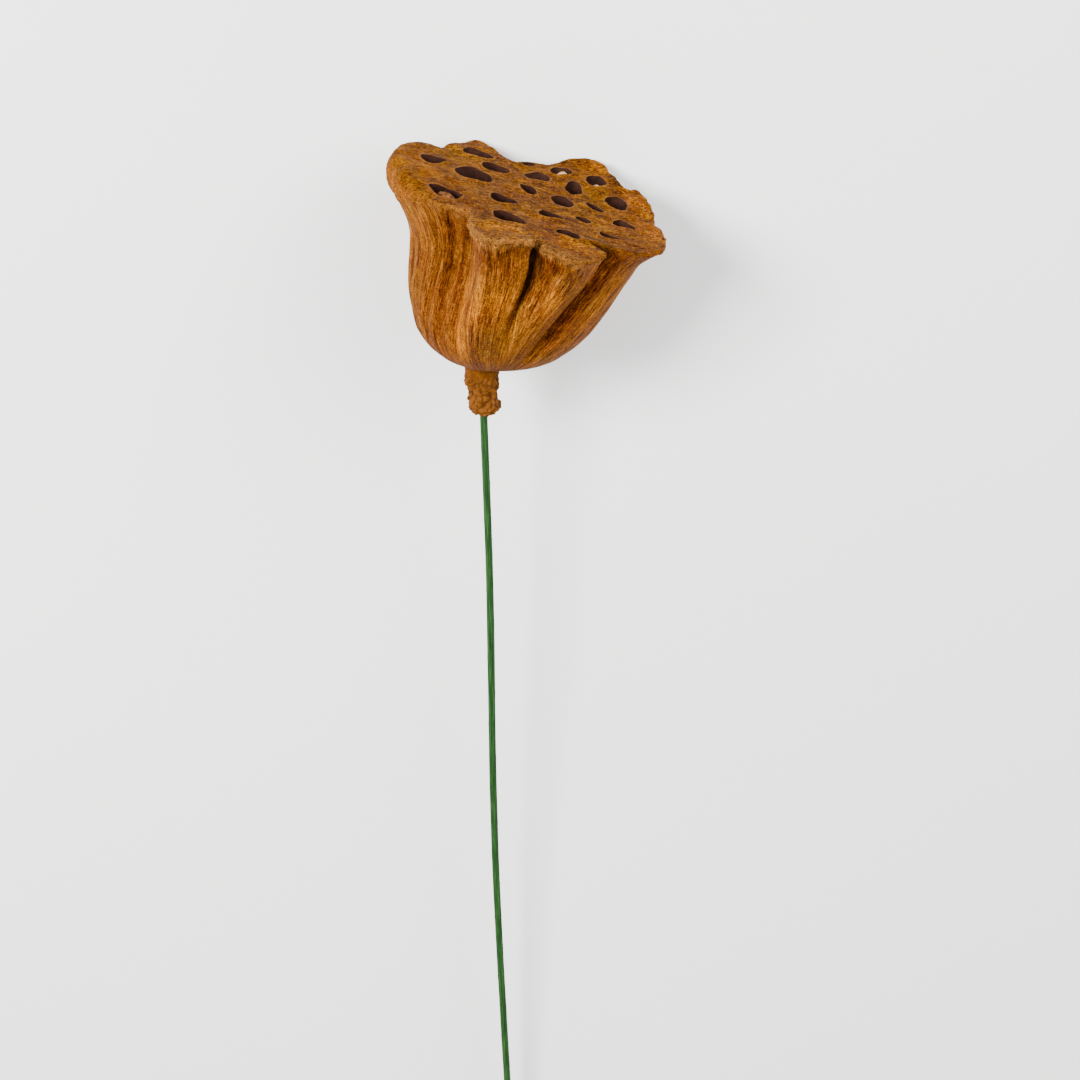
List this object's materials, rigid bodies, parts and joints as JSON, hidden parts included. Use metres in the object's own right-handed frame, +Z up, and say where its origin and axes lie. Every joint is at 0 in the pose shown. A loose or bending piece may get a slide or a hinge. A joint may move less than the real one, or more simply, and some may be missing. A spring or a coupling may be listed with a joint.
{
  "type": "dried lotus seed pod on a wire stem",
  "caption": "Dried lotus seed head with a lobed, tilted top full of sockets, fluted sides and a knobbly stub, on a long tape-wrapped wire stem, lying down.",
  "frame": {"origin": "on the surface it lies on, at the middle of the bounding box", "axes": "+Z up off the surface, +Y along the stem from the cut end towards the pod, +X to the right when the top is seen with the pod above the stem"},
  "size_m": [0.0862, 0.4636, 0.0832],
  "materials": {
    "dried_receptacle": "matte",
    "dried_seed": "matte",
    "green_stem_tape": "satin",
    "steel_wire": "satin"
  },
  "bodies": {
    "root": {"seed_pod": "dried_receptacle", "seed_1": "dried_seed", "seed_2": "dried_seed", "seed_3": "dried_seed", "seed_4": "dried_seed", "stem_wire": "steel_wire", "stem_wrap": "green_stem_tape"}
  },
  "joints": []
}
